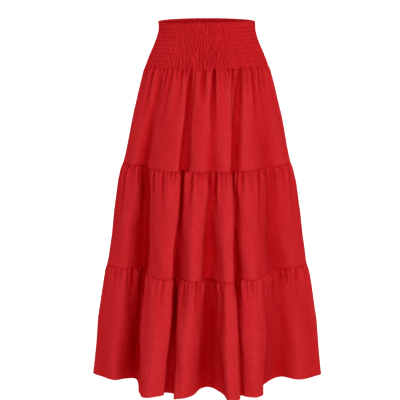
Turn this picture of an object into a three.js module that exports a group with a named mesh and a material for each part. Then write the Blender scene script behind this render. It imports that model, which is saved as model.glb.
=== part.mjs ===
// Three-tier maxi skirt with a shirred waist, filled out and standing in its folds.
// Millimetres, +Z up. The origin is the centre of the waist ring and the front faces -Y.
import * as THREE from 'three';

// Cloth walls and the gap at every seam
const tierWall = 1.6;
const bandWall = 2.4;
const seamGap = 0.3;

// Heights of the edges and seams
const waistTop = 15;
const bandSeam = -92;
const upperSeam = -330;
const middleSeam = -590;
const hemLine = -880;

// The top edge rises to the wearer's left and at the back
const topTilt = 0.045;
const topBackRise = 5;

// Gathers round the skirt at the top of each tier, and puckers round the waistband
const upperGathers = 40;
const middleGathers = 56;
const lowerGathers = 48;
const bandPuckers = 52;

// Elastic rows of the waistband and how far its puckers stand out
const elasticRows = 10;
const puckerHeight = 1.7;
const rowDip = 1.1;

// The waistband from its top edge to its seam: half the width, and how far front and back stand out
const bandProfile = [
  { z: 15, half: 115, front: 80, back: 84 },
  { z: -7, half: 116.5, front: 81, back: 85 },
  { z: -21, half: 120, front: 84, back: 88 },
  { z: -36, half: 125.5, front: 88, back: 92 },
  { z: -50, half: 131.5, front: 93, back: 97 },
  { z: -65, half: 138, front: 98, back: 102 },
  { z: -92, half: 149, front: 107, back: 111 },
];

// Turns of the cloth round the skirt, from the wearer's right side across the front and back again.
// bandX is its place on the waistband seam. The other columns are its place across and how far it
// stands out from the middle, at the upper seam, at the middle seam and at the hem.
const turnColumns = ['bandX', 'upX', 'upOut', 'midX', 'midOut', 'hemX', 'hemOut'];
const frontTurns = {
  sideRight: [-149, -206, 0, -250, -4, -290, -6],
  wingRight: [-138, -194, 38, -241, 26, -265, 28],
  wingRightInner: [-124, -178, 56, -206, 50, -234, 48],
  valleyOne: [-110, -153, 57, -157, 30, -181, 4],
  foldOneLeft: [-91, -135, 102, -141, 120, -164, 143],
  foldOneTop: [-68, -104, 138, -112, 158, -142, 178],
  foldOneRight: [-46, -68, 148, -84, 160, -107, 161],
  foldOneBehind: [-39, -72, 136, -93, 143, -117, 149],
  valleyTwo: [-34, -61, 126, -80, 130, -100, 144],
  foldTwoBehind: [-29, -50, 129, -68, 139, -77, 156],
  foldTwoLeft: [-24, -42, 141, -57, 157, -81, 180],
  foldTwoTop: [-10, -26, 151, -38, 179, -60, 190],
  foldTwoRight: [3, -7, 153, -18, 174, -37, 167],
  valleyThree: [13, 3, 147, -5, 150, -16, 114],
  valleyThreeLeft: [19, 10, 141, 6, 144, 3, 106],
  foldThreeLeft: [28, 27, 150, 26, 170, 36, 151],
  foldThreeTop: [43, 42, 156, 44, 188, 53, 200],
  foldThreeRight: [58, 54, 153, 63, 184, 80, 188],
  foldThreeBehind: [67, 50, 143, 57, 167, 76, 174],
  valleyFour: [76, 64, 129, 67, 140, 86, 167],
  foldFourLeft: [84, 85, 139, 89, 159, 98, 173],
  foldFourTop: [95, 104, 132, 111, 165, 119, 178],
  foldFourRight: [106, 124, 108, 133, 132, 137, 160],
  foldFourBehind: [112, 134, 92, 147, 98, 141, 88],
  valleyFive: [118, 149, 76, 172, 58, 187, 28],
  wingLeft: [131, 184, 58, 214, 48, 234, 48],
  wingLeftOuter: [140, 198, 34, 238, 26, 272, 24],
};
const backTurns = {
  sideLeft: [149, 206, 0, 251, -2, 292, -6],
  backWingLeft: [134, 190, 48, 236, 36, 266, 48],
  backValleyOne: [112, 158, 84, 186, 62, 208, 42],
  backFoldOneLeft: [93, 130, 110, 156, 114, 184, 116],
  backFoldOneTop: [76, 104, 128, 128, 142, 156, 160],
  backFoldOneRight: [60, 82, 134, 104, 148, 126, 152],
  backValleyTwo: [46, 64, 128, 86, 124, 104, 102],
  backFoldTwoLeft: [32, 48, 143, 68, 160, 84, 164],
  backFoldTwoTop: [16, 28, 148, 44, 170, 54, 184],
  backValleyThree: [0, 4, 141, 12, 144, 12, 116],
  backFoldThreeLeft: [-14, -18, 148, -16, 168, -22, 170],
  backFoldThreeTop: [-30, -42, 149, -44, 174, -56, 188],
  backValleyFour: [-47, -66, 134, -76, 132, -94, 108],
  backFoldFourLeft: [-62, -86, 134, -100, 150, -118, 154],
  backFoldFourTop: [-80, -112, 120, -132, 138, -154, 152],
  backFoldFourRight: [-96, -134, 102, -160, 106, -186, 108],
  backValleyFive: [-112, -160, 78, -190, 58, -212, 38],
  backWingRight: [-134, -192, 42, -236, 34, -266, 46],
};

// How far the cloth puffs out between the seams, below each gathered edge
const puffs = [
  { z: -92, out: 0 },
  { z: -104, out: 2.5 },
  { z: -150, out: 3 },
  { z: -212, out: 3 },
  { z: -300, out: -0.5 },
  { z: -330, out: 0 },
  { z: -347, out: 4 },
  { z: -377, out: 6 },
  { z: -407, out: 5 },
  { z: -453, out: 4 },
  { z: -514, out: 0 },
  { z: -576, out: -1 },
  { z: -590, out: 0 },
  { z: -606, out: 3 },
  { z: -654, out: 4 },
  { z: -733, out: 6 },
  { z: -797, out: 2 },
  { z: -880, out: 0 },
];

// Long troughs below a gathered edge: the turn each follows, its depth and width, and where it
// starts, is deepest and ends
const troughs = [
  { turn: 7.4, depth: 9, width: 0.75, top: -92, full: -110, end: -330 },
  { turn: 13.5, depth: 6, width: 0.8, top: -92, full: -104, end: -290 },
  { turn: 18.6, depth: 9, width: 0.75, top: -92, full: -112, end: -330 },
  { turn: 3.6, depth: 4, width: 0.7, top: -92, full: -120, end: -270 },
  { turn: 11.3, depth: 4, width: 0.5, top: -92, full: -104, end: -170 },
  { turn: 0.55, depth: 4, width: 0.4, top: -330, full: -365, end: -540 },
  { turn: 3.3, depth: 14, width: 0.75, top: -330, full: -375, end: -590 },
  { turn: 23.7, depth: 8, width: 0.6, top: -330, full: -372, end: -590 },
  { turn: 29.2, depth: 5, width: 0.7, top: -92, full: -116, end: -280 },
  { turn: 33, depth: 8, width: 0.6, top: -92, full: -110, end: -330 },
  { turn: 36, depth: 5, width: 0.7, top: -92, full: -106, end: -290 },
  { turn: 39, depth: 9, width: 0.6, top: -92, full: -112, end: -330 },
  { turn: 42.8, depth: 4, width: 0.6, top: -92, full: -110, end: -250 },
  { turn: 29.3, depth: 9, width: 0.7, top: -330, full: -375, end: -590 },
  { turn: 42.6, depth: 9, width: 0.7, top: -330, full: -375, end: -590 },
];

// Where the hem hangs lower than its line: the turn, how far, and over how many turns
const hemDips = [
  { turn: 3.2, dip: 14, width: 0.8 },
  { turn: 4.2, dip: 6, width: 0.6 },
  { turn: 9.8, dip: 5, width: 0.7 },
  { turn: 16.2, dip: 3, width: 0.8 },
  { turn: 30, dip: 8, width: 0.8 },
  { turn: 40, dip: 8, width: 0.8 },
];

const turns = [...Object.values(frontTurns), ...Object.values(backTurns)];
const frontCount = Object.keys(frontTurns).length;
const turnCount = turns.length;

// An uneven share between 0 and 1 that is always the same for the same number
function uneven(number, seed) {
  const wave = Math.sin(number * 12.9898 + seed * 78.233) * 43758.5453;
  return wave - Math.floor(wave);
}

// The value of a column at height z in a table that runs downwards
function readTable(table, column, z) {
  if (z >= table[0].z) return table[0][column];
  for (let i = 1; i < table.length; i += 1) {
    const above = table[i - 1];
    const below = table[i];
    if (z >= below.z) {
      const share = (above.z - z) / (above.z - below.z);
      return above[column] + (below[column] - above[column]) * share;
    }
  }
  return table[table.length - 1][column];
}

// How far out the waistband ellipse lies at a place across
function bandOut(x, isFront, z) {
  const half = readTable(bandProfile, 'half', z);
  const depth = readTable(bandProfile, isFront ? 'front' : 'back', z);
  return depth * Math.sqrt(Math.max(0, 1 - (x / half) ** 2));
}

// One turn's place in plan at height z
function turnPoint(index, z) {
  const isFront = index < frontCount;
  const row = turns[index];
  const value = (name) => row[turnColumns.indexOf(name)];
  const facing = isFront ? -1 : 1;
  if (z >= bandSeam) {
    const half = readTable(bandProfile, 'half', z);
    const x = value('bandX') * half / -turns[0][0];
    return [x, facing * bandOut(x, isFront, z)];
  }
  const seamOut = bandOut(value('bandX'), isFront, bandSeam);
  const stops = [
    { z: bandSeam, x: value('bandX'), out: seamOut },
    { z: upperSeam, x: value('upX'), out: value('upOut') },
    { z: middleSeam, x: value('midX'), out: value('midOut') },
    { z: hemLine, x: value('hemX'), out: value('hemOut') },
  ];
  return [readTable(stops, 'x', z), facing * readTable(stops, 'out', z)];
}

// A closed smooth ring through all the turns at height z
const ringStore = new Map();
function ringAt(z) {
  if (!ringStore.has(z)) {
    const points = turns.map((row, index) => {
      const [x, y] = turnPoint(index, z);
      return new THREE.Vector3(x, y, 0);
    });
    ringStore.set(z, new THREE.CatmullRomCurve3(points, true, 'centripetal'));
  }
  return ringStore.get(z);
}

// The point of the ring at a turn number, whole or in between, and the way out of the cloth there
function ringPoint(turn, z) {
  const curve = ringAt(z);
  const wrap = (value) => ((value % turnCount) + turnCount) % turnCount;
  const step = 0.02;
  const point = curve.getPoint(wrap(turn) / turnCount);
  const before = curve.getPoint(wrap(turn - step) / turnCount);
  const after = curve.getPoint(wrap(turn + step) / turnCount);
  const along = after.sub(before).normalize();
  return { x: point.x, y: point.y, outX: along.y, outY: -along.x, alongX: along.x, alongY: along.y };
}

// How deep the long troughs are at a place
function troughDepth(turn, z) {
  let depth = 0;
  for (const trough of troughs) {
    if (z > trough.top || z < trough.end) continue;
    const span = z > trough.full
      ? (trough.top - z) / (trough.top - trough.full)
      : (z - trough.end) / (trough.full - trough.end);
    const off = (turn - trough.turn) / trough.width;
    depth += trough.depth * Math.sqrt(span) * Math.exp(-off * off);
  }
  return depth;
}

// How far the hem hangs below its line at a turn
function hemDip(turn) {
  let dip = 0;
  for (const row of hemDips) {
    const off = (turn - row.turn) / row.width;
    dip += row.dip * Math.exp(-off * off);
  }
  return dip;
}

// How strong a tier's gathers are at a height, nothing at the seam and most a little below it
function gatherFade(top, bottom, z) {
  const drop = top - z;
  const rise = Math.min(1, drop / 14);
  const reach = 0.5 * (top - bottom);
  const fall = Math.max(0, 1 - Math.max(0, drop - 14) / reach);
  return rise * fall * fall;
}

// The three tiers, with their gathers all round and the height of each wave
const tiers = [
  { name: 'upper_tier', top: bandSeam, bottom: upperSeam, gathers: upperGathers, wave: 3.0, seed: 1 },
  { name: 'middle_tier', top: upperSeam, bottom: middleSeam, gathers: middleGathers, wave: 3.8, seed: 2 },
  { name: 'lower_tier', top: middleSeam, bottom: hemLine, gathers: lowerGathers, wave: 3.8, seed: 3 },
];

// Shares of a tier's height where the wall has a row of points
const tierRows = [0, 0.055, 0.13, 0.25, 0.45, 0.7, 1];

// Turn numbers that split a panel into equal lengths of cloth, measured on two of its rings
function evenTurns(first, last, count, heights) {
  const samples = 600;
  const lengths = new Array(samples + 1).fill(0);
  for (const z of heights) {
    const own = [0];
    for (let i = 1; i <= samples; i += 1) {
      const from = ringPoint(first + (last - first) * (i - 1) / samples, z);
      const to = ringPoint(first + (last - first) * i / samples, z);
      own.push(own[i - 1] + Math.hypot(to.x - from.x, to.y - from.y));
    }
    own.forEach((length, i) => {
      lengths[i] += length / own[samples] / heights.length;
    });
  }
  const places = [];
  let i = 0;
  for (let k = 0; k <= count; k += 1) {
    const goal = k / count;
    while (i < samples - 1 && lengths[i + 1] < goal) i += 1;
    const share = (goal - lengths[i]) / (lengths[i + 1] - lengths[i]);
    places.push(first + (last - first) * (i + Math.min(1, Math.max(0, share))) / samples);
  }
  return places;
}

// A closed wall from a grid of outer points and a grid of inner points, columns by rows
function wallMesh(name, outer, inner, colour) {
  const positions = [];
  const index = [];
  const add = (point) => {
    positions.push(point[0], point[1], point[2]);
    return positions.length / 3 - 1;
  };
  const outerIds = outer.map((column) => column.map(add));
  const innerIds = inner.map((column) => column.map(add));
  const quad = (a, b, c, d) => {
    index.push(a, b, c, a, c, d);
  };
  const face = (ids, flip) => {
    for (let c = 0; c + 1 < ids.length; c += 1) {
      for (let r = 0; r + 1 < ids[c].length; r += 1) {
        if (flip) quad(ids[c][r], ids[c + 1][r], ids[c + 1][r + 1], ids[c][r + 1]);
        else quad(ids[c][r], ids[c][r + 1], ids[c + 1][r + 1], ids[c + 1][r]);
      }
    }
  };
  face(outerIds, false);
  face(innerIds, true);
  const lastColumn = outer.length - 1;
  for (let c = 0; c < lastColumn; c += 1) {
    const outerEnd = outerIds[c].length - 1;
    const innerEnd = innerIds[c].length - 1;
    quad(outerIds[c][0], outerIds[c + 1][0], innerIds[c + 1][0], innerIds[c][0]);
    quad(outerIds[c][outerEnd], innerIds[c][innerEnd], innerIds[c + 1][innerEnd], outerIds[c + 1][outerEnd]);
  }
  // Side edges: a strip that steps down whichever row of points is behind
  for (const c of [0, lastColumn]) {
    const flip = c === lastColumn;
    const a = outerIds[c];
    const b = innerIds[c];
    let i = 0;
    let j = 0;
    while (i + 1 < a.length || j + 1 < b.length) {
      const onOuter = j + 1 >= b.length
        || (i + 1 < a.length && (i + 1) * (b.length - 1) <= (j + 1) * (a.length - 1));
      const third = onOuter ? a[i + 1] : b[j + 1];
      if (flip) index.push(a[i], third, b[j]);
      else index.push(a[i], b[j], third);
      if (onOuter) i += 1;
      else j += 1;
    }
  }
  const geometry = new THREE.BufferGeometry();
  geometry.setAttribute('position', new THREE.Float32BufferAttribute(positions, 3));
  geometry.setIndex(index);
  geometry.computeVertexNormals();
  const material = new THREE.MeshStandardMaterial({ color: colour, roughness: 0.85, metalness: 0 });
  const mesh = new THREE.Mesh(geometry, material);
  mesh.name = name;
  return mesh;
}

// A point moved out of the cloth and hung lower by a dip, with the side seam's half gap kept at the
// panel's two edges
function placed(turn, z, move, edge, dip = 0) {
  const ring = ringPoint(turn, z);
  const shift = edge * seamGap / 2;
  return [
    ring.x + ring.outX * move + ring.alongX * shift,
    ring.y + ring.outY * move + ring.alongY * shift,
    z - dip,
  ];
}

const halves = [
  { side: 'front', first: 0, last: frontCount },
  { side: 'back', first: frontCount, last: turnCount },
];
const group = new THREE.Group();
const clothRed = 0xb81c21;

// The tiers: gathers are crests and hollows on alternate columns
for (const tier of tiers) {
  for (const half of halves) {
    const count = tier.gathers;
    const middle = (tier.top + tier.bottom) / 2;
    const places = evenTurns(half.first, half.last, count, [tier.top - 40, middle, tier.bottom]);
    const outer = [];
    const inner = [];
    for (let c = 0; c <= count; c += 1) {
      const edge = c === 0 ? 1 : c === count ? -1 : 0;
      const height = tier.wave * (0.45 + 0.9 * uneven(c + half.first * 10, tier.seed));
      const wave = edge === 0 ? (c % 2 === 0 ? height : -height) : 0;
      const outerColumn = [];
      const innerColumn = [];
      for (const row of tierRows) {
        let z = tier.top + (tier.bottom - tier.top) * row;
        const move = readTable(puffs, 'out', z) - troughDepth(places[c], z)
          + wave * gatherFade(tier.top, tier.bottom, z);
        if (row === 0) z -= seamGap / 2;
        if (row === 1 && tier.bottom !== hemLine) z += seamGap / 2;
        const dip = tier.bottom === hemLine ? hemDip(places[c]) * row ** 3 : 0;
        outerColumn.push(placed(places[c], z, move + tierWall / 2, edge, dip));
        innerColumn.push(placed(places[c], z, move - tierWall / 2, edge, dip));
      }
      outer.push(outerColumn);
      inner.push(innerColumn);
    }
    group.add(wallMesh(`${tier.name}_${half.side}`, outer, inner, clothRed));
  }
}

// The waistband: elastic rows draw its outer points in, puckers stand out between them
for (const half of halves) {
  const isFront = half.side === 'front';
  const places = evenTurns(half.first, half.last, bandPuckers, [waistTop, bandSeam]);
  const outer = [];
  const inner = [];
  const rowCount = elasticRows * 2;
  for (let c = 0; c <= bandPuckers; c += 1) {
    const edge = c === 0 ? 1 : c === bandPuckers ? -1 : 0;
    const column = [];
    const plain = [];
    const topPoint = ringPoint(places[c], waistTop);
    const lift = (isFront ? topTilt * topPoint.x : 0) * Math.abs(topPoint.y) / 80
      + (isFront ? 0 : topBackRise * Math.abs(topPoint.y) / 84);
    for (let r = 0; r <= rowCount; r += 1) {
      const share = r / rowCount;
      let z = waistTop + (bandSeam - waistTop) * share;
      const height = puckerHeight * (0.55 + 0.6 * uneven(c * 31 + r, half.first + 5));
      const isRow = r % 2 === 0;
      const rise = c % 2 === 0 ? height : height * 0.35;
      let move = bandWall / 2 + (isRow ? rise - rowDip : rise);
      if (r === 0 || r === rowCount || edge !== 0) move = bandWall / 2 - 0.4;
      const ringZ = z;
      z += lift * (1 - share);
      if (r === rowCount) z += seamGap / 2;
      const point = placed(places[c], ringZ, move, edge);
      column.push([point[0], point[1], z]);
      if (r % 5 === 0) {
        const back = placed(places[c], ringZ, -bandWall / 2, edge);
        plain.push([back[0], back[1], z]);
      }
    }
    outer.push(column);
    inner.push(plain);
  }
  group.add(wallMesh(`waistband_${half.side}`, outer, inner, clothRed));
}

export default group;
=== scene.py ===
import math

import bpy
import numpy as np
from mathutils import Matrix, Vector


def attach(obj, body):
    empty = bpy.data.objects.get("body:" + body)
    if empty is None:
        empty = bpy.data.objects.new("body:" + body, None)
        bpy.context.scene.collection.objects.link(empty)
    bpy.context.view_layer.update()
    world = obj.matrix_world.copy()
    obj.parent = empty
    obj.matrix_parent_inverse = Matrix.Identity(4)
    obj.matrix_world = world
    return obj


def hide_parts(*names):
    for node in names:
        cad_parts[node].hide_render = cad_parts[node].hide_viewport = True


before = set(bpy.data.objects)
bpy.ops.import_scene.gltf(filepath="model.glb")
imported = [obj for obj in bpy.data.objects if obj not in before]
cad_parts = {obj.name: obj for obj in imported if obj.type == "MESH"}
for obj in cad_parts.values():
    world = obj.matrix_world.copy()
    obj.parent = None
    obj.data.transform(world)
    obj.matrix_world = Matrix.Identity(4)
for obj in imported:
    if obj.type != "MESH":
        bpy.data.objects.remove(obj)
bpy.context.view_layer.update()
print("frame loaded:", len(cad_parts), "nodes")

# Sizes are in millimetres, as on a cutting table, and turn to metres when a mesh is made.
# The front faces -Y, and the waist ring's centre is the origin.
skirt = {
    "waistTop": 15,
    "bandSeam": -92,
    "upperSeam": -330,
    "middleSeam": -590,
    "hemLine": -880,
    "topTilt": 0.045,       # the top edge rises to the wearer's left
    "topBackRise": 2,
    "clothThickness": 0.7,
    "sideLap": 0.02,        # each panel reaches this far past the middle of its side seam
}

# Waistband from its top edge to its seam: half the width, and how far front and back stand out
bandProfile = [
    {"z": 15, "half": 115, "front": 80, "back": 84},
    {"z": -7, "half": 116.5, "front": 81, "back": 85},
    {"z": -21, "half": 120, "front": 84, "back": 88},
    {"z": -36, "half": 125.5, "front": 88, "back": 92},
    {"z": -50, "half": 131.5, "front": 93, "back": 97},
    {"z": -65, "half": 138, "front": 98, "back": 102},
    {"z": -92, "half": 149, "front": 107, "back": 111},
]

# Turns of the cloth round the skirt, from the wearer's right side across the front and back again:
# place across at the band seam, then place across and stand-out at upper seam, middle seam and hem
frontTurns = {
    "sideRight": [-149, -206, 0, -250, -4, -290, -6],
    "wingRight": [-138, -194, 38, -241, 26, -265, 28],
    "wingRightInner": [-124, -178, 56, -206, 50, -234, 48],
    "valleyOne": [-110, -153, 57, -157, 30, -181, 4],
    "foldOneLeft": [-91, -135, 102, -141, 120, -164, 143],
    "foldOneTop": [-68, -104, 138, -112, 158, -142, 178],
    "foldOneRight": [-46, -68, 148, -84, 160, -107, 161],
    "foldOneBehind": [-39, -72, 136, -93, 143, -117, 149],
    "valleyTwo": [-34, -61, 126, -80, 130, -100, 144],
    "foldTwoBehind": [-29, -50, 129, -68, 139, -77, 156],
    "foldTwoLeft": [-24, -42, 141, -57, 157, -81, 180],
    "foldTwoTop": [-10, -26, 151, -38, 179, -60, 190],
    "foldTwoRight": [3, -7, 153, -18, 174, -37, 167],
    "valleyThree": [13, 3, 147, -5, 150, -16, 114],
    "valleyThreeLeft": [19, 10, 141, 6, 144, 3, 106],
    "foldThreeLeft": [28, 27, 150, 26, 170, 36, 151],
    "foldThreeTop": [43, 42, 156, 44, 188, 53, 200],
    "foldThreeRight": [58, 54, 153, 63, 184, 80, 188],
    "foldThreeBehind": [67, 50, 143, 57, 167, 76, 174],
    "valleyFour": [76, 64, 129, 67, 140, 86, 167],
    "foldFourLeft": [84, 85, 139, 89, 159, 98, 173],
    "foldFourTop": [95, 104, 132, 111, 165, 119, 178],
    "foldFourRight": [106, 124, 108, 133, 132, 137, 160],
    "foldFourBehind": [112, 134, 92, 147, 98, 141, 88],
    "valleyFive": [118, 149, 76, 172, 58, 187, 28],
    "wingLeft": [131, 184, 58, 214, 48, 234, 48],
    "wingLeftOuter": [140, 198, 34, 238, 26, 272, 24],
}
backTurns = {
    "sideLeft": [149, 206, 0, 251, -2, 292, -6],
    "backWingLeft": [134, 190, 48, 236, 36, 266, 48],
    "backValleyOne": [112, 158, 84, 186, 62, 208, 42],
    "backFoldOneLeft": [93, 130, 110, 156, 114, 184, 116],
    "backFoldOneTop": [76, 104, 128, 128, 142, 156, 160],
    "backFoldOneRight": [60, 82, 134, 104, 148, 126, 152],
    "backValleyTwo": [46, 64, 128, 86, 124, 104, 102],
    "backFoldTwoLeft": [32, 48, 143, 68, 160, 84, 164],
    "backFoldTwoTop": [16, 28, 148, 44, 170, 54, 184],
    "backValleyThree": [0, 4, 141, 12, 144, 12, 116],
    "backFoldThreeLeft": [-14, -18, 148, -16, 168, -22, 170],
    "backFoldThreeTop": [-30, -42, 149, -44, 174, -56, 188],
    "backValleyFour": [-47, -66, 134, -76, 132, -94, 108],
    "backFoldFourLeft": [-62, -86, 134, -100, 150, -118, 154],
    "backFoldFourTop": [-80, -112, 120, -132, 138, -154, 152],
    "backFoldFourRight": [-96, -134, 102, -160, 106, -186, 108],
    "backValleyFive": [-112, -160, 78, -190, 58, -212, 38],
    "backWingRight": [-134, -192, 42, -236, 34, -266, 46],
}

# How far the cloth puffs out between the seams
puffs = [
    {"z": -92, "out": 0},
    {"z": -104, "out": 2.5},
    {"z": -150, "out": 3},
    {"z": -212, "out": 3},
    {"z": -300, "out": -0.5},
    {"z": -330, "out": 0},
    {"z": -347, "out": 4},
    {"z": -377, "out": 6},
    {"z": -407, "out": 5},
    {"z": -453, "out": 4},
    {"z": -514, "out": 0},
    {"z": -576, "out": -1},
    {"z": -590, "out": 0},
    {"z": -606, "out": 3},
    {"z": -654, "out": 4},
    {"z": -733, "out": 6},
    {"z": -797, "out": 2},
    {"z": -880, "out": 0},
]

# Long troughs below a gathered edge, each along one turn of the cloth
troughs = [
    {"turn": 7.4, "depth": 9, "width": 0.75, "top": -92, "full": -110, "end": -330},
    {"turn": 13.5, "depth": 6, "width": 0.8, "top": -92, "full": -104, "end": -290},
    {"turn": 18.6, "depth": 9, "width": 0.75, "top": -92, "full": -112, "end": -330},
    {"turn": 3.6, "depth": 4, "width": 0.7, "top": -92, "full": -120, "end": -270},
    {"turn": 11.3, "depth": 4, "width": 0.5, "top": -92, "full": -104, "end": -170},
    {"turn": 0.55, "depth": 4, "width": 0.4, "top": -330, "full": -365, "end": -540},
    {"turn": 3.3, "depth": 14, "width": 0.75, "top": -330, "full": -375, "end": -590},
    {"turn": 23.7, "depth": 8, "width": 0.6, "top": -330, "full": -372, "end": -590},
    {"turn": 29.2, "depth": 5, "width": 0.7, "top": -92, "full": -116, "end": -280},
    {"turn": 33, "depth": 8, "width": 0.6, "top": -92, "full": -110, "end": -330},
    {"turn": 36, "depth": 5, "width": 0.7, "top": -92, "full": -106, "end": -290},
    {"turn": 39, "depth": 9, "width": 0.6, "top": -92, "full": -112, "end": -330},
    {"turn": 42.8, "depth": 4, "width": 0.6, "top": -92, "full": -110, "end": -250},
    {"turn": 29.3, "depth": 9, "width": 0.7, "top": -330, "full": -375, "end": -590},
    {"turn": 42.6, "depth": 9, "width": 0.7, "top": -330, "full": -375, "end": -590},
]

# Where the hem hangs lower than its line: the turn, how far, and over how many turns
hemDips = [
    {"turn": 3.2, "dip": 14, "width": 0.8},
    {"turn": 4.2, "dip": 6, "width": 0.6},
    {"turn": 9.8, "dip": 5, "width": 0.7},
    {"turn": 16.2, "dip": 3, "width": 0.8},
    {"turn": 30, "dip": 8, "width": 0.8},
    {"turn": 40, "dip": 8, "width": 0.8},
]

turnTable = np.array(list(frontTurns.values()) + list(backTurns.values()), float)
frontCount = len(frontTurns)
turnCount = len(turnTable)
halves = [("front", 0, frontCount), ("back", frontCount, turnCount)]


# an uneven share between 0 and 1, always the same for the same number
def uneven(number, seed):
    wave = np.sin(np.asarray(number, float) * 12.9898 + seed * 78.233) * 43758.5453
    return wave - np.floor(wave)


# a column of a table that runs downwards, read at any height
def readTable(table, column, z):
    heights = [-row["z"] for row in table]
    return np.interp(-np.asarray(z, float), heights, [row[column] for row in table])


# places in plan of all turns at one height
def turnPlaces(z):
    isFront = np.arange(turnCount) < frontCount
    facing = np.where(isFront, -1.0, 1.0)
    seam = skirt["bandSeam"]

    def bandRing(x, height):
        half = readTable(bandProfile, "half", height)
        front = readTable(bandProfile, "front", height)
        back = readTable(bandProfile, "back", height)
        return np.where(isFront, front, back) * np.sqrt(np.maximum(0, 1 - (x / half) ** 2))

    bandX = turnTable[:, 0] * readTable(bandProfile, "half", max(z, seam)) / bandProfile[-1]["half"]
    if z >= seam:
        return np.stack([bandX, facing * bandRing(bandX, z)], 1)
    stops = [seam, skirt["upperSeam"], skirt["middleSeam"], skirt["hemLine"]]
    across = [bandX, turnTable[:, 1], turnTable[:, 3], turnTable[:, 5]]
    outs = [bandRing(bandX, seam), turnTable[:, 2], turnTable[:, 4], turnTable[:, 6]]
    for i in range(3):
        if z >= stops[i + 1] or i == 2:
            share = (stops[i] - z) / (stops[i] - stops[i + 1])
            x = across[i] + (across[i + 1] - across[i]) * share
            out = outs[i] + (outs[i + 1] - outs[i]) * share
            return np.stack([x, facing * out], 1)


# smooth closed ring through the turns at one height, read at turn numbers
def ringAt(turn, z):
    knots = turnPlaces(z)
    turn = np.mod(np.asarray(turn, float), turnCount)
    low = np.floor(turn).astype(int)
    share = (turn - low)[:, None]
    p0, p1, p2, p3 = (knots[(low + k) % turnCount] for k in (-1, 0, 1, 2))
    step = lambda a, b: np.maximum(np.sqrt(np.linalg.norm(b - a, axis=1)), 1e-4)[:, None]
    d0, d1, d2 = step(p0, p1), step(p1, p2), step(p2, p3)
    t1 = ((p1 - p0) / d0 - (p2 - p0) / (d0 + d1) + (p2 - p1) / d1) * d1
    t2 = ((p2 - p1) / d1 - (p3 - p1) / (d1 + d2) + (p3 - p2) / d2) * d1
    c2 = -3 * p1 + 3 * p2 - 2 * t1 - t2
    c3 = 2 * p1 - 2 * p2 + t1 + t2
    return p1 + t1 * share + c2 * share ** 2 + c3 * share ** 3


# point, way along the cloth and way out of it, in plan
def ringFrame(turn, z):
    along = ringAt(turn + 0.02, z) - ringAt(turn - 0.02, z)
    along /= np.linalg.norm(along, axis=1)[:, None]
    return ringAt(turn, z), along, np.stack([along[:, 1], -along[:, 0]], 1)


# turn numbers that split a stretch into equal lengths of cloth
def evenTurns(first, last, count, heights):
    fine = np.linspace(first, last, 601)
    share = np.zeros(len(fine))
    for z in heights:
        ring = ringAt(fine[:-1], z)
        ring = np.vstack([ring, ringAt(fine[-1:], z)])
        own = np.concatenate([[0], np.cumsum(np.linalg.norm(np.diff(ring, axis=0), axis=1))])
        share += own / own[-1] / len(heights)
    return np.interp(np.linspace(0, 1, count + 1), share, fine)


# a smooth bell over the turns round a row's own turn
def bell(turn, row):
    return np.exp(-((turn - row["turn"]) / row["width"]) ** 2)


def troughDepth(turn, z):
    depth = np.zeros(len(turn))
    for row in troughs:
        if row["end"] <= z <= row["top"]:
            if z > row["full"]:
                span = (row["top"] - z) / (row["top"] - row["full"])
            else:
                span = (z - row["end"]) / (row["full"] - row["end"])
            depth += row["depth"] * math.sqrt(max(0, span)) * bell(turn, row)
    return depth


def hemDip(turn):
    return sum(row["dip"] * bell(turn, row) for row in hemDips)


# a mesh object from points and faces, with its cloth coordinates in metres and its share of crest, which
# paints light and shade into its colour
def makeMesh(name, points, faces, cloth=None, material=None, paintedFoldLight=None):
    mesh = bpy.data.meshes.new(name)
    mesh.from_pydata([tuple(p) for p in points], [], [tuple(f) for f in faces])
    if cloth is not None:
        layer = mesh.uv_layers.new(name="cloth")
        loops = np.empty(len(mesh.loops), np.int32)
        mesh.loops.foreach_get("vertex_index", loops)
        layer.data.foreach_set("uv", np.asarray(cloth, np.float32)[loops].ravel())
    if paintedFoldLight is not None:
        shares = mesh.attributes.new("paintedFoldLight", "FLOAT", "POINT")
        shares.data.foreach_set("value", np.asarray(paintedFoldLight, np.float32))
    mesh.polygons.foreach_set("use_smooth", [True] * len(mesh.polygons))
    obj = bpy.data.objects.new(name, mesh)
    bpy.context.scene.collection.objects.link(obj)
    if material:
        mesh.materials.append(material)
    return obj


# how far each point of a grid, rows by columns, stands before the cloth around it:
# 0 in a hollow, 1 on a crest; the cloth's colour takes it as painted light on crests and painted shade in
# hollows
def crestShare(points, reach):
    flat = points[:, :, :2]
    step = np.linalg.norm(np.diff(flat, axis=1), axis=2).mean()
    count = max(1, int(round(reach / step)))
    padded = np.pad(flat, ((0, 0), (count, count), (0, 0)), mode="edge")
    sums = np.cumsum(np.pad(padded, ((0, 0), (1, 0), (0, 0))), axis=1)
    around = (sums[:, 2 * count + 1:] - sums[:, :-2 * count - 1]) / (2 * count + 1)
    way = np.gradient(flat, axis=1)
    way /= np.maximum(np.linalg.norm(way, axis=2), 1e-6)[:, :, None]
    out = np.stack([way[:, :, 1], -way[:, :, 0]], 2)
    stand = ((flat - around) * out).sum(axis=2)
    share = np.clip(0.5 + stand / (reach * 0.5), 0, 1)
    return share * share * (3 - 2 * share)


def gridFaces(columns, rows):
    c, r = np.meshgrid(np.arange(columns - 1), np.arange(rows - 1), indexing="ij")
    a = (c * rows + r).ravel()
    return np.stack([a, a + 1, a + rows + 1, a + rows], 1)


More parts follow.
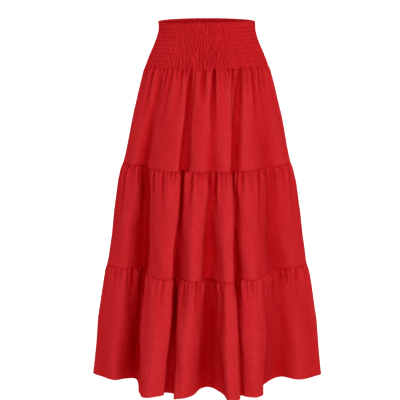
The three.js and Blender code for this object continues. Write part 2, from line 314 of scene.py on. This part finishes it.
linen = {
    "colour": (0.59, 0.044, 0.051),           # painted light: the lighter red on the crests of the folds
    "foldShadeColour": (0.505, 0.021, 0.026),       # painted shade: the deeper red down in the folds and beside the seams
    "slubsPerMetre": 700,
    "slubLength": 0.030,
    "slubHeight": 0.00018,
    "crinkleWidth": 0.005,      # shallow upright wrinkles all over the cloth
    "crinkleLength": 0.013,
    "crinkleHeight": 0.0006,
    "threadPitch": 0.0007,
    "threadHeight": 0.00006,
    "roughness": 0.86,
    "warpSlubShare": 0.9,       # upright slubs are a little lower
    "crestShadeTone": 0.85,          # how much each thing tells in the mix of the two colours; the crest share paints light on crests and shade in hollows
    "slubTone": 0.28,
    "patchTone": 0.3,
    "crinkleTone": 0.7,
}


# one socket of a node tree, so that shader maths reads as plain sums
class Wire:
    def __init__(self, shop, socket):
        self.shop = shop
        self.socket = socket

    def maths(self, operation, first, second=0.0):
        return self.shop.add("ShaderNodeMath", {"operation": operation}, {0: first, 1: second})

    def __add__(self, other):
        return self.maths("ADD", self, other)

    def __sub__(self, other):
        return self.maths("SUBTRACT", self, other)

    def __mul__(self, other):
        return self.maths("MULTIPLY", self, other)

    def __rsub__(self, other):
        return self.maths("SUBTRACT", other, self)

    __radd__ = __add__
    __rmul__ = __mul__


# one material's nodes
class Shop:
    def __init__(self, name):
        self.material = bpy.data.materials.new(name)
        self.material.use_nodes = True
        self.nodes = self.material.node_tree.nodes
        self.links = self.material.node_tree.links
        self.nodes.clear()

    def add(self, kind, settings, sockets, output=0):
        node = self.nodes.new(kind)
        for key, value in settings.items():
            setattr(node, key, value)
        for key, value in sockets.items():
            target = node.inputs[key]
            if isinstance(value, Wire):
                self.links.new(value.socket, target)
            else:
                target.default_value = value
        return Wire(self, node.outputs[output]) if len(node.outputs) else None

    def finish(self, surface):
        self.add("ShaderNodeOutputMaterial", {}, {"Surface": surface})
        return self.material


def clothMaterial(name, facts):
    shop = Shop(name)
    cloth = shop.add("ShaderNodeUVMap", {"uv_map": "cloth"}, {}, "UV")
    stretch = lambda across, down: shop.add(
        "ShaderNodeMapping", {"vector_type": "POINT"}, {"Vector": cloth, "Scale": (across, down, 1)})
    noise = lambda place, detail, rough: shop.add(
        "ShaderNodeTexNoise", {"noise_dimensions": "2D"},
        {"Vector": place, "Scale": 1.0, "Detail": detail, "Roughness": rough}, "Fac")
    slub = noise(stretch(1 / facts["slubLength"], facts["slubsPerMetre"]), 2.0, 0.55)
    warpSlub = noise(stretch(facts["slubsPerMetre"] * 1.1, 1 / facts["slubLength"] * 0.8), 2.0, 0.5)
    crinkle = noise(stretch(1 / facts["crinkleWidth"], 1 / facts["crinkleLength"]), 2.0, 0.5)
    patch = noise(stretch(9, 7), 3.0, 0.5)
    pitch = 2 * math.pi / facts["threadPitch"]
    parts = shop.add("ShaderNodeSeparateXYZ", {}, {0: cloth})
    across, down = parts, Wire(shop, parts.socket.node.outputs[1])
    sine = lambda value: value.maths("SINE", value)
    weave = sine(across * pitch) * sine(down * pitch)
    thick = shop.add("ShaderNodeMapRange", {"interpolation_type": "SMOOTHSTEP"},
                     {"Value": slub, "From Min": 0.42, "From Max": 0.72, "To Min": 0.0, "To Max": 1.0})
    height = thick * facts["slubHeight"] + warpSlub * (facts["slubHeight"] * facts["warpSlubShare"])
    height = height + crinkle * facts["crinkleHeight"] + weave * facts["threadHeight"]
    # painted light and shade: the share of crest lightens the cloth on fold crests and deepens it in the
    # hollows
    paintedFoldLight = shop.add("ShaderNodeAttribute", {"attribute_name": "paintedFoldLight"}, {}, "Fac")
    tone = paintedFoldLight * facts["crestShadeTone"] + (thick - 0.5) * facts["slubTone"]
    tone = tone + (patch - 0.5) * facts["patchTone"] + (crinkle - 0.5) * facts["crinkleTone"]
    colour = shop.add("ShaderNodeMix", {"data_type": "RGBA", "clamp_factor": False},
                      {0: tone, 6: (*facts["foldShadeColour"], 1), 7: (*facts["colour"], 1)}, 2)
    bump = shop.add("ShaderNodeBump", {}, {"Strength": 0.8, "Distance": 1.0, "Height": height})
    rough = facts["roughness"] - thick * 0.06
    surface = shop.add("ShaderNodeBsdfPrincipled", {}, {
        "Base Color": colour, "Roughness": rough, "Normal": bump, "Specular IOR Level": 0.0})
    return shop.finish(surface)


redCloth = clothMaterial("redCloth", linen)
print("cloth material made")

tiers = [
    {"name": "upperTier", "node": "upper_tier", "top": "bandSeam", "bottom": "upperSeam",
     "cut": (0.640, 0.238), "gathers": 40, "wave": 3.0, "seed": 1, "edgeStart": 0.75, "edgeTuck": 0.6,
     "fineWaves": 72, "fineHeight": 2.2, "fineLength": 60, "columns": (420, 280), "rows": 56},
    {"name": "middleTier", "node": "middle_tier", "top": "upperSeam", "bottom": "middleSeam",
     "cut": (0.940, 0.260), "gathers": 56, "wave": 3.8, "seed": 2, "edgeStart": 0.4, "edgeTuck": 0.6,
     "fineWaves": 108, "fineHeight": 2.9, "fineLength": 56, "columns": (460, 300), "rows": 56},
    {"name": "lowerTier", "node": "lower_tier", "top": "middleSeam", "bottom": "hemLine",
     "cut": (1.130, 0.290), "gathers": 48, "wave": 3.8, "seed": 3, "edgeStart": 0.4, "edgeTuck": 0.6,
     "fineWaves": 116, "fineHeight": 2.6, "fineLength": 50, "columns": (480, 320), "rows": 54},
]

# Creases listed from the gathered edge down:
# place across the front at the seam, length, depth and width
handCreases = {
    "upperTier": [
        (-128, 150, 3.4, 4.6), (-116, 58, 3.0, 3.0), (-106, 64, 3.4, 3.2), (-96, 56, 3.0, 3.0),
        (-86, 130, 5.0, 4.2), (-71, 46, 3.0, 2.6), (-58, 110, 4.4, 4.2), (-50, 52, 3.0, 2.6),
        (-36, 200, 2.6, 5.0), (-22, 40, 2.2, 2.4), (-10, 74, 4.2, 3.2), (3, 44, 2.2, 2.6),
        (17, 140, 4.8, 4.2), (32, 40, 2.0, 2.4), (50, 54, 3.0, 2.6), (60, 150, 4.4, 3.6),
        (79, 190, 6.4, 4.4), (90, 58, 2.8, 2.8), (100, 46, 2.4, 2.4), (107, 180, 5.0, 5.0),
        (121, 66, 2.6, 3.0), (133, 60, 2.4, 3.4)],
    "middleTier": [
        (-193, 170, 5.0, 4.4), (-184, 50, 2.6, 3.0), (-176, 66, 3.0, 3.2), (-167, 60, 3.0, 3.0),
        (-156, 56, 3.4, 3.0), (-143, 76, 4.4, 3.4), (-133, 66, 4.4, 3.0), (-124, 60, 3.6, 2.6),
        (-113, 74, 4.4, 3.0), (-103, 70, 4.4, 2.8), (-93, 62, 4.2, 2.6), (-85, 54, 3.8, 2.4),
        (-77, 50, 3.6, 2.2), (-69, 60, 3.8, 2.6), (-59, 120, 4.4, 4.0), (-48, 60, 3.0, 2.6),
        (-21, 50, 3.2, 2.4), (-14, 44, 2.6, 2.2), (-7, 56, 3.8, 2.6), (6, 40, 2.4, 2.4),
        (21, 100, 4.8, 3.6), (34, 60, 4.0, 2.4), (43, 52, 3.6, 2.2), (52, 48, 3.0, 2.4),
        (61, 70, 3.6, 3.0), (72, 130, 4.0, 4.0), (83, 64, 4.0, 2.6), (92, 54, 3.6, 2.2),
        (98, 46, 2.8, 2.0), (104, 50, 3.4, 2.0), (113, 50, 3.4, 2.2), (121, 120, 5.0, 4.4),
        (129, 60, 3.0, 2.4), (137, 56, 3.6, 2.4), (146, 54, 3.4, 2.4), (160, 56, 2.6, 2.8),
        (174, 48, 2.2, 2.6), (192, 160, 3.6, 3.6)],
    "lowerTier": [
        (-236, 60, 2.2, 3.4), (-214, 66, 2.8, 3.4), (-205, 50, 2.2, 2.8), (-196, 58, 2.8, 3.0),
        (-182, 48, 2.0, 2.8), (-132, 44, 2.0, 2.6), (-120, 46, 2.2, 2.6), (-108, 50, 2.4, 2.6),
        (-96, 46, 2.2, 2.4), (-53, 60, 4.2, 2.8), (-46, 50, 3.8, 2.4), (-37, 44, 3.0, 2.2),
        (-25, 84, 5.0, 3.6), (-17, 52, 3.4, 2.4), (-7, 48, 3.2, 2.2), (1, 42, 2.8, 2.2),
        (7, 46, 3.2, 2.0), (19, 44, 3.0, 2.0), (31, 46, 3.2, 2.2), (40, 40, 2.4, 2.2),
        (63, 60, 3.8, 2.8), (80, 44, 2.4, 2.4), (95, 60, 3.8, 2.4), (107, 48, 3.4, 2.2),
        (118, 60, 3.8, 2.6), (131, 76, 4.0, 3.2), (143, 72, 4.0, 3.2), (152, 56, 3.0, 2.8),
        (162, 84, 4.0, 3.8), (172, 54, 2.8, 2.8), (181, 64, 3.2, 3.2), (194, 50, 2.4, 2.8),
        (205, 58, 3.0, 3.2), (222, 50, 2.2, 3.0), (240, 46, 2.0, 3.0)],
}

# Folds that stay open right up to the gathered edge: the turn, then depth, half width and reach down
openFolds = {
    "upperTier": [],
    "middleTier": [
        {"turn": 3.5, "depth": 6, "width": 0.4, "reach": 90},
        {"turn": 2.6, "depth": -12, "width": 0.42, "reach": 150},
        {"turn": 1.3, "depth": 6, "width": 0.5, "reach": 130},
        {"turn": 8.1, "depth": 4, "width": 0.6, "reach": 120},
        {"turn": 14, "depth": 5, "width": 0.9, "reach": 250}],
    "lowerTier": [
        {"turn": 3.5, "depth": 6, "width": 0.5, "reach": 80},
        {"turn": 8.1, "depth": 3, "width": 0.5, "reach": 90},
        {"turn": 14.15, "depth": 9, "width": 1.0, "reach": 420}],
}

# Rows of points close to the hem and to a seam, by their height above it
hemRowsUp = [24, 21, 19.5, 18.5, 17.5, 16, 12, 7, 3, 1, 0.25, 0]
seamRowsUp = [3, 1, 0.25, 0]
turnedInRows = [-2.5, -0.3]     # a gathered edge stands up this far behind the panel above it

edging = {
    "turnedInBehind": 0.4,
    "standOut": 0.8,            # the cloth's outer face before the ring
    "tuckReach": 1.2,
    "hemStitchUp": 18.5,
    "hemPull": 0.35,            # the hem stitch pulls in this much
    "hemPullReach": 1.1,
    "sideCalm": 5,              # nothing moves at the side seams, and all of it a little way off
    "seamShadeReach": 1.4,
    "crestReach": 26,
}

# Soft waves of the drape: length across, length down and size
drapeWaves = [(170, 900, 1.5), (96, 420, 1.0), (61, 260, 0.7), (143, 190, 0.5), (38, 160, 0.35)]


# smooth strength of a tier's gathers on the way down
def gatherFade(tall, drop):
    rise = min(1, drop / 14)
    fall = max(0, 1 - max(0, drop - 14) / (0.5 * tall))
    return rise * fall * fall


# heights of waves at their columns, joined smoothly
def waveShape(places, heights, turn):
    low = np.clip(np.searchsorted(places, turn, side="right") - 1, 0, len(places) - 2)
    share = (turn - places[low]) / (places[low + 1] - places[low])
    ease = share * share * (3 - 2 * share)
    return heights[low] * (1 - ease) + heights[low + 1] * ease


# soft irregular drape, the same every time
def drape(across, z, seed):
    total = np.zeros(len(across))
    for k, (wide, tall, size) in enumerate(drapeWaves):
        lean = (uneven(k, seed) - 0.5) * 0.9
        cycle = across / wide + z / tall + lean * z / wide * 0.3 + uneven(k + 9, seed)
        total += size * np.sin(2 * math.pi * cycle)
    return total


# the cloth's thickness, grown inwards
def thicken(obj, thickness):
    wall = obj.modifiers.new("wall", "SOLIDIFY")
    wall.thickness = thickness / 1000
    wall.offset = -1
    wall.use_even_offset = False


def tierPanel(tier, half, first, last):
    top, bottom = skirt[tier["top"]], skirt[tier["bottom"]]
    tall = top - bottom
    isHem = tier["bottom"] == "hemLine"
    isFront = half == "front"
    measured = [top - 40, (top + bottom) / 2, bottom]
    turn = evenTurns(first, last, tier["columns"][0 if isFront else 1], measured)
    places = evenTurns(first, last, tier["gathers"], measured)
    number = np.arange(len(places))
    heights = tier["wave"] * (0.45 + 0.9 * uneven(number + first * 10, tier["seed"]))
    heights = np.where(number % 2 == 0, heights, -heights)
    heights[0] = heights[-1] = 0
    finePlaces = evenTurns(first, last, tier["fineWaves"], [top - 8])
    astray = uneven(np.arange(len(finePlaces) - 2), tier["seed"] + first + 3) - 0.5
    finePlaces[1:-1] += astray * 0.5 * np.diff(finePlaces)[1:]
    fineNumber = np.arange(len(finePlaces))
    fineShare = 0.3 + uneven(fineNumber, tier["seed"] + 20 + first)
    fineHeights = tier["fineHeight"] * fineShare * np.where(fineNumber % 2 == 0, 1, -1)
    fineHeights[0] = fineHeights[-1] = 0
    gathers = waveShape(places, heights, turn)
    fine = waveShape(finePlaces, fineHeights, turn)

    # length along the gathered edge, for creases and drape
    edge = ringAt(turn, top - 10)
    edge[-1] = ringAt(turn[-1:] - 1e-6, top - 10)[0]
    along = np.concatenate([[0], np.cumsum(np.linalg.norm(np.diff(edge, axis=0), axis=1))])
    sign = 1 if isFront else -1
    sideways = np.maximum.accumulate(edge[:, 0] * sign)
    creases = [(np.interp(x if isFront else x * 0.97 + 6, sideways, along), length, depth, width)
               for x, length, depth, width in handCreases[tier["name"]]]

    # close rows at both edges keep the cloth's shading straight up to its seams and round its hem stitch
    drops = tall * np.linspace(0, 1, tier["rows"] + 1) ** 1.35
    ends = hemRowsUp if isHem else seamRowsUp
    between = drops[(drops > 0.5) & (drops < tall - ends[0])]
    drops = np.concatenate([[0, 0.25], between, tall - np.array(ends)])
    if tier["top"] != "bandSeam":
        drops = np.concatenate([turnedInRows, drops])
    points = []
    seam = 1 - np.exp(-np.minimum(along, along[-1] - along) / edging["sideCalm"])
    for drop in drops:
        z = top - drop
        ring, way, out = ringFrame(turn, z)
        move = readTable(puffs, "out", z) - troughDepth(turn, z)
        if drop < 0:
            flat = ring + out * (move - edging["turnedInBehind"])[:, None]
            points.append(np.column_stack([flat, np.full(len(turn), z)]))
            continue
        move += gathers * gatherFade(tall, drop)
        start = tier["edgeStart"]
        move += seam * fine * min(1, start + drop / 5) * max(0, 1 - drop / tier["fineLength"]) ** 1.3
        for place, length, depth, width in creases:
            if drop < length:
                strength = min(1, 0.3 + start / 2 + drop / 4) * (1 - drop / length) ** 0.8
                wide = width * (0.8 + 0.9 * drop / length)
                off = (along - place) / wide
                ridges = 0.3 * np.exp(-((np.abs(off) - 1.7) / 0.8) ** 2)
                move += seam * 1.25 * depth * strength * (ridges - np.exp(-off ** 2))
        calm = min(1, drop / 30) * (1 if isHem else min(1, (tall - drop) / 25))
        move += seam * calm * drape(along, z, tier["seed"] * 7 + first)
        for fold in openFolds[tier["name"]]:
            if drop < fold["reach"]:
                span = min(1, drop / 5) * (1 - drop / fold["reach"]) ** 0.7
                move -= fold["depth"] * span * bell(turn, fold)
        if drop == 0 and tier["name"] == "upperTier":
            gatherHeads[half] = (turn, move)
        tuck = tier["edgeTuck"] * math.exp(-drop / edging["tuckReach"])
        if not isHem:
            tuck += tier["edgeTuck"] * math.exp(-(tall - drop) / edging["tuckReach"])
        else:
            offStitch = (tall - drop - edging["hemStitchUp"]) / edging["hemPullReach"]
            tuck += edging["hemPull"] * math.exp(-offStitch ** 2)
        flat = ring + out * (move + edging["standOut"] - tuck)[:, None]
        flat[0] -= way[0] * skirt["sideLap"]
        flat[-1] += way[-1] * skirt["sideLap"]
        hang = z - hemDip(turn) * (drop / tall) ** 3 if isHem else np.full(len(turn), z)
        points.append(np.column_stack([flat, hang]))
    points = np.array(points)
    if isHem:
        hemRows.append(points[np.argmin(np.abs(drops - (tall - edging["hemStitchUp"])))])
    # the cloth's pattern runs by the longest ring, eased into the gathers
    step = np.linalg.norm(np.diff(points[:, :, :2], axis=1), axis=2)
    cutWidth = step.sum(axis=1).max()
    u = np.concatenate([[0], np.cumsum(step[-1])]) / step[-1].sum() * cutWidth
    rows, columns = points.shape[:2]
    down = np.broadcast_to(-drops[:, None], (rows, columns))
    cloth = np.stack([np.broadcast_to(u, (rows, columns)), down], 2)
    flatPoints = points.transpose(1, 0, 2).reshape(-1, 3) / 1000
    flatCloth = cloth.transpose(1, 0, 2).reshape(-1, 2) / 1000
    # painted shade: the cloth's colour is deepened in a narrow band beside each seam, where a shaded groove
    # would lie
    reach = edging["seamShadeReach"]
    seamShade = np.exp(-np.abs(drops) / reach) + (0 if isHem else np.exp(-(tall - drops) / reach))
    paintedFoldLight = (crestShare(points, edging["crestReach"]) * (1 - seamShade)[:, None]).T.ravel()
    name = f"{tier['name']}{half.capitalize()}"
    obj = makeMesh(name, flatPoints, gridFaces(columns, rows), flatCloth, redCloth, paintedFoldLight)
    thicken(obj, skirt["clothThickness"])
    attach(obj, "root")
    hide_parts(f"{tier['node']}_{half}")
    print(obj.name, "cut", tier["cut"], "widest ring", round(cutWidth))


hemRows = []
gatherHeads = {}
for tier in tiers:
    for half, first, last in halves:
        tierPanel(tier, half, first, last)

waistband = {
    "rows": 10,                 # spaces between elastic rows, which are one more
    "lastRow": -86,             # the lowest elastic row, just above the seam
    "puckersEachHalf": 58,
    "ribHeight": 1.7,           # cloth between two elastic rows bulges this much
    "puckerHeight": 4.2,
    "headerHeight": 5.5,        # free edge above the first elastic row
    "headerSteps": 4,
    "footSteps": 4,
    "crestReach": 3.5,
    "columnsPerPucker": 8,
    "stepsPerRow": 7,
    "thickness": 0.7,
    "cut": (0.560, 0.110),
    "cornerFlares": (2.4, 0.9),   # the free edge curls out at the wearer's right and left side seams
}


# heights of the band's grid: free edge, elastic rows, then the short stretch down to the seam
def bandHeights():
    facts = waistband
    top, bottom = skirt["waistTop"], skirt["bandSeam"]
    firstRow = top - facts["headerHeight"]
    return np.concatenate([
        np.linspace(top, firstRow, facts["headerSteps"] + 1)[:-1],
        np.linspace(firstRow, facts["lastRow"], facts["rows"] * facts["stepsPerRow"] + 1),
        np.linspace(facts["lastRow"], bottom, facts["footSteps"] + 1)[1:]])


def bandPoints(half, first, last):
    facts = waistband
    top, bottom = skirt["waistTop"], skirt["bandSeam"]
    firstRow = top - facts["headerHeight"]
    isFront = half == "front"
    puckers = facts["puckersEachHalf"]
    turn = evenTurns(first, last, puckers * facts["columnsPerPucker"], [top, bottom])
    base = np.linspace(0, puckers, len(turn))
    wander = 0.4 * np.sin(base * 0.61 + first) + 0.3 * np.sin(base * 1.37 + 1.1 + first)
    calm = 1 - np.exp(-np.minimum(base, puckers - base) / 0.8)
    place = base / puckers
    middle = np.exp(-((place - (0.46 if isFront else 0.5)) / 0.24) ** 2)    # most drawn up here
    leaning = 1.5 * np.exp(-((place - 0.4) / 0.12) ** 2)
    flares = facts["cornerFlares"] if isFront else facts["cornerFlares"][::-1]
    corner = flares[0] * np.exp(-base / 1.6) + flares[1] * np.exp(-(puckers - base) / 1.6)
    headTurn, headMove = gatherHeads[half]
    heads = np.interp(turn, headTurn, headMove)
    points = []
    for z in bandHeights():
        share = (top - z) / (top - bottom)
        row = np.clip((firstRow - z) / (firstRow - facts["lastRow"]) * facts["rows"], 0, facts["rows"])
        inRow = row - math.floor(row)
        rib = math.sqrt(abs(math.sin(math.pi * row)))
        header = np.clip((z - firstRow) / facts["headerHeight"], 0, 1)
        foot = np.clip((facts["lastRow"] - z) / (facts["lastRow"] - bottom), 0, 1)
        ring, way, out = ringFrame(turn, z)

        # each row's puckers start near those above it and lean their own way
        def shift(cell):
            smooth = 0.2 * np.sin(cell * 2.1 + base * 0.23 + first) + 0.24 * np.sin(cell * 4.7 + base * 0.83)
            return smooth + 0.12 * np.sin(cell * 8.3 + base * 2.1)

        ease = inRow * inRow * (3 - 2 * inRow)
        phase = base + wander - leaning * share ** 2
        phase += shift(math.floor(row)) * (1 - ease) + shift(math.floor(row) + 1) * ease
        cell = np.floor(phase) + 131 * first
        own = (1 - ease) * uneven(cell, 3 + math.floor(row)) + ease * uneven(cell, 4 + math.floor(row))
        size = 0.45 + 0.9 * own
        pucker = np.abs(np.sin(math.pi * phase)) ** 0.8
        strength = (0.3 + 0.7 * middle) * (0.65 + 0.5 * share)
        move = facts["puckerHeight"] * (pucker - 0.5) * size * strength
        move += facts["ribHeight"] * (rib - 0.5) * (1.15 - 0.5 * middle) * (1 - header)
        move = move * calm * (1 - foot) + heads * foot
        move += corner * np.clip((z - top + 11) / 8, 0, 1)
        flat = ring + out * (move + 1.0 - 0.2 * foot)[:, None]
        flat[0] -= way[0] * skirt["sideLap"]
        flat[-1] += way[-1] * skirt["sideLap"]
        high = np.abs(ring[:, 1])
        lift = skirt["topTilt"] * ring[:, 0] * high / 80 if isFront else skirt["topBackRise"] * high / 84
        ruffle = 0.9 * (pucker - 0.5) * size * header * calm
        points.append(np.column_stack([flat, z + lift * (1 - share) + ruffle]))
    return np.array(points)


def bandPanel(half, first, last):
    points = bandPoints(half, first, last)
    facts = waistband
    for k in range(facts["rows"] + 1):
        elasticRows.append(points[facts["headerSteps"] + k * facts["stepsPerRow"]])
    rows, columns = points.shape[:2]
    step = np.linalg.norm(np.diff(points[:, :, :2], axis=1), axis=2)
    wide = step.sum(axis=1).mean()
    u = np.linspace(0, wide, columns)
    v = bandHeights() - skirt["waistTop"]
    cloth = np.stack([np.broadcast_to(u, (rows, columns)), np.broadcast_to(v[:, None], (rows, columns))], 2)
    # painted light and shade: the band's puckers are lighter on their crests and deeper red between them
    obj = makeMesh(f"waistband{half.capitalize()}", points.transpose(1, 0, 2).reshape(-1, 3) / 1000,
                   gridFaces(columns, rows), cloth.transpose(1, 0, 2).reshape(-1, 2) / 1000, redCloth,
                   crestShare(points, facts["crestReach"]).T.ravel() * 0.8)
    thicken(obj, waistband["thickness"])
    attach(obj, "root")
    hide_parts(f"waistband_{half}")
    print(obj.name, "cut", waistband["cut"], "mean row", round(wide))


elasticRows = []
for half, first, last in halves:
    bandPanel(half, first, last)

stitches = {
    "elastic": {"pitch": 3.4, "length": 2.5, "thickness": 0.5},
    "hem": {"pitch": 3.0, "length": 2.3, "thickness": 0.45},
    "sides": 5,
    "colour": (0.52, 0.020, 0.028),
}


# a node group that lays one stitch after another along every edge line of a mesh
def stitchTree():
    tree = bpy.data.node_groups.new("stitchLine", "GeometryNodeTree")
    face = tree.interface
    face.new_socket("Geometry", in_out="INPUT", socket_type="NodeSocketGeometry")
    for name, value in (("Pitch", 0.003), ("Stitch Length", 0.0022), ("Thickness", 0.0004),
                        ("Unevenness", 0.12)):
        face.new_socket(name, in_out="INPUT", socket_type="NodeSocketFloat").default_value = value
    face.new_socket("Seed", in_out="INPUT", socket_type="NodeSocketInt")
    face.new_socket("Thread", in_out="INPUT", socket_type="NodeSocketMaterial")
    face.new_socket("Geometry", in_out="OUTPUT", socket_type="NodeSocketGeometry")

    def add(kind, settings, sockets, output=0):
        node = tree.nodes.new(kind)
        for key, value in settings.items():
            setattr(node, key, value)
        for key, value in sockets.items():
            if isinstance(value, bpy.types.NodeSocket):
                tree.links.new(value, node.inputs[key])
            else:
                node.inputs[key].default_value = value
        return node.outputs[output] if len(node.outputs) else None

    given = tree.nodes.new("NodeGroupInput").outputs
    line = add("GeometryNodeMeshToCurve", {}, {"Mesh": given["Geometry"]})
    line = add("GeometryNodeResampleCurve", {"mode": "LENGTH"}, {"Curve": line, "Length": given["Pitch"]})
    along = add("GeometryNodeInputTangent", {}, {})
    turned = add("FunctionNodeAlignRotationToVector", {"axis": "Z"}, {"Vector": along})
    radius = add("ShaderNodeMath", {"operation": "MULTIPLY"}, {0: given["Thickness"], 1: 0.5})
    one = add("GeometryNodeMeshCylinder", {"fill_type": "TRIANGLE_FAN"},
              {"Vertices": stitches["sides"], "Side Segments": 1, "Radius": radius,
               "Depth": given["Stitch Length"]})
    least = add("ShaderNodeMath", {"operation": "SUBTRACT"}, {0: 1.0, 1: given["Unevenness"]})
    size = add("FunctionNodeRandomValue", {"data_type": "FLOAT"},
               {2: least, 3: 1.0, "Seed": given["Seed"]}, 1)
    many = add("GeometryNodeInstanceOnPoints", {},
               {"Points": line, "Instance": one, "Rotation": turned, "Scale": size})
    many = add("GeometryNodeRealizeInstances", {}, {"Geometry": many})
    many = add("GeometryNodeSetShadeSmooth", {}, {"Geometry": many})
    many = add("GeometryNodeSetMaterial", {}, {"Geometry": many, "Material": given["Thread"]})
    add("NodeGroupOutput", {}, {"Geometry": many})
    return tree


# one joined mesh of stitches along routes given in millimetres
def stitchPiece(name, routes, facts, tree, seed):
    points = np.vstack(routes) / 1000
    edges = []
    start = 0
    for route in routes:
        edges += [(start + k, start + k + 1) for k in range(len(route) - 1)]
        start += len(route)
    guide = bpy.data.meshes.new(name + "Guide")
    guide.from_pydata([tuple(p) for p in points], edges, [])
    guideObject = bpy.data.objects.new(name + "Guide", guide)
    bpy.context.scene.collection.objects.link(guideObject)
    modifier = guideObject.modifiers.new("stitches", "NODES")
    modifier.node_group = tree
    values = {"Pitch": facts["pitch"] / 1000, "Stitch Length": facts["length"] / 1000,
              "Thickness": facts["thickness"] / 1000, "Unevenness": 0.12, "Seed": seed, "Thread": redThread}
    for item in tree.interface.items_tree:
        if item.item_type == "SOCKET" and item.in_out == "INPUT" and item.name in values:
            modifier[item.identifier] = values[item.name]
    shown = guideObject.evaluated_get(bpy.context.evaluated_depsgraph_get())
    mesh = bpy.data.meshes.new_from_object(shown)
    bpy.data.objects.remove(guideObject)
    bpy.data.meshes.remove(guide)
    mesh.name = name
    obj = bpy.data.objects.new(name, mesh)
    bpy.context.scene.collection.objects.link(obj)
    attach(obj, "root")
    print(name, "faces", len(mesh.polygons))
    return obj


def threadMaterial(name, colour):
    shop = Shop(name)
    place = shop.add("ShaderNodeTexCoord", {}, {}, "Object")
    twist = shop.add("ShaderNodeTexNoise", {}, {"Vector": place, "Scale": 2600.0, "Detail": 1.0}, "Fac")
    bump = shop.add("ShaderNodeBump", {}, {"Strength": 0.4, "Distance": 0.0002, "Height": twist})
    return shop.finish(shop.add("ShaderNodeBsdfPrincipled", {}, {
        "Base Color": (*colour, 1), "Roughness": 0.7, "Specular IOR Level": 0.1, "Normal": bump}))


redThread = threadMaterial("redThread", stitches["colour"])
lineTree = stitchTree()
stitchPiece("elasticStitches", elasticRows, stitches["elastic"], lineTree, 3)
stitchPiece("hemStitches", hemRows, stitches["hem"], lineTree, 5)

studio = {
    "cameraPlace": (-0.017, -3.2, 0.225),
    "pitchDown": 11.525,
    "lens": 118.0,
    "floorHeight": -1.25,
    "floorColour": (0.93, 0.93, 0.93),
    "sweepHalf": 3.2,           # the sweep is narrow, so little light comes round the sides
    "sweepFront": -6,
    "sweepBack": 4,             # the floor bends up into the backdrop from here
    "sweepBend": 1.5,
    "sweepTop": 5.0,
    "floorHalf": 9.0,
    "worldStrength": 0.15,
    "blackPoint": 0.006,        # a product picture's levels, which deepen the red in the folds
    "lights": [
        {"name": "keySoftbox", "place": (1.85, -3.45, 1.5), "aim": (0, 0, -0.45), "size": 2.6, "power": 88},
        {"name": "fillSoftbox", "place": (-2.0, -3.4, 1.3), "aim": (0, 0, -0.45), "size": 2.6, "power": 50},
        {"name": "topSoftbox", "place": (0.1, -1.4, 2.6), "aim": (0, 0, -0.2), "size": 1.0, "power": 5},
        {"name": "backdropRight", "place": (2.6, 1.6, 2.2), "aim": (1.0, 4.2, -0.6),
         "size": 2.0, "power": 115},
        {"name": "backdropLeft", "place": (-2.6, 1.6, 2.2), "aim": (-1.0, 4.2, -0.6),
         "size": 2.0, "power": 115},
    ],
}

camera = bpy.data.objects.new("photoCamera", bpy.data.cameras.new("photoCamera"))
bpy.context.scene.collection.objects.link(camera)
camera.location = studio["cameraPlace"]
camera.rotation_euler = (math.radians(90 - studio["pitchDown"]), 0, 0)
camera.data.lens = studio["lens"]
camera.data.sensor_width = 36
camera.data.clip_end = 50
bpy.context.scene.camera = camera

for facts in studio["lights"]:
    lamp = bpy.data.lights.new(facts["name"], "AREA")
    lamp.energy = facts["power"]
    lamp.size = facts["size"]
    light = bpy.data.objects.new(facts["name"], lamp)
    light.location = facts["place"]
    light.rotation_euler = (Vector(facts["aim"]) - Vector(facts["place"])).to_track_quat("-Z", "Y").to_euler()
    bpy.context.scene.collection.objects.link(light)

world = bpy.data.worlds.new("studioWorld")
world.use_nodes = True
world.node_tree.nodes["Background"].inputs["Color"].default_value = (1, 1, 1, 1)
world.node_tree.nodes["Background"].inputs["Strength"].default_value = studio["worldStrength"]
bpy.context.scene.world = world
bpy.context.scene.view_settings.view_transform = "Standard"
bpy.context.scene.view_settings.look = "Medium High Contrast"
bpy.context.scene.view_settings.use_curve_mapping = True
bpy.context.scene.view_settings.curve_mapping.black_level = [studio["blackPoint"]] * 3
bpy.context.scene.view_settings.curve_mapping.update()

# floor and backdrop in one sweep
sweepPoints = []
bend = studio["sweepBend"]
back, level = studio["sweepBack"], studio["floorHeight"]
sweepSide = [(studio["sweepFront"], level), (back, level)]
for a in np.linspace(0.1, math.pi / 2, 12):
    sweepSide.append((back + bend * math.sin(a), level + bend - bend * math.cos(a)))
sweepSide.append((back + bend, studio["sweepTop"]))
for x in (-studio["sweepHalf"], studio["sweepHalf"]):
    sweepPoints += [(x, y, z) for y, z in sweepSide]
count = len(sweepSide)
sweepFaces = [(i, count + i, count + i + 1, i + 1) for i in range(count - 1)]
plain = Shop("paleSweep")
paleSweep = plain.finish(plain.add("ShaderNodeBsdfPrincipled", {}, {
    "Base Color": (*studio["floorColour"], 1), "Roughness": 0.9, "Specular IOR Level": 0.0}))
sweep = makeMesh("studioSweep", sweepPoints, sweepFaces, None, paleSweep)
wide, low = studio["floorHalf"], studio["floorHeight"] - 0.002
corners = [(-wide, -wide, low), (wide, -wide, low), (wide, wide, low), (-wide, wide, low)]
floor = makeMesh("studioFloor", corners, [(0, 1, 2, 3)], None, paleSweep)
print("studio made")
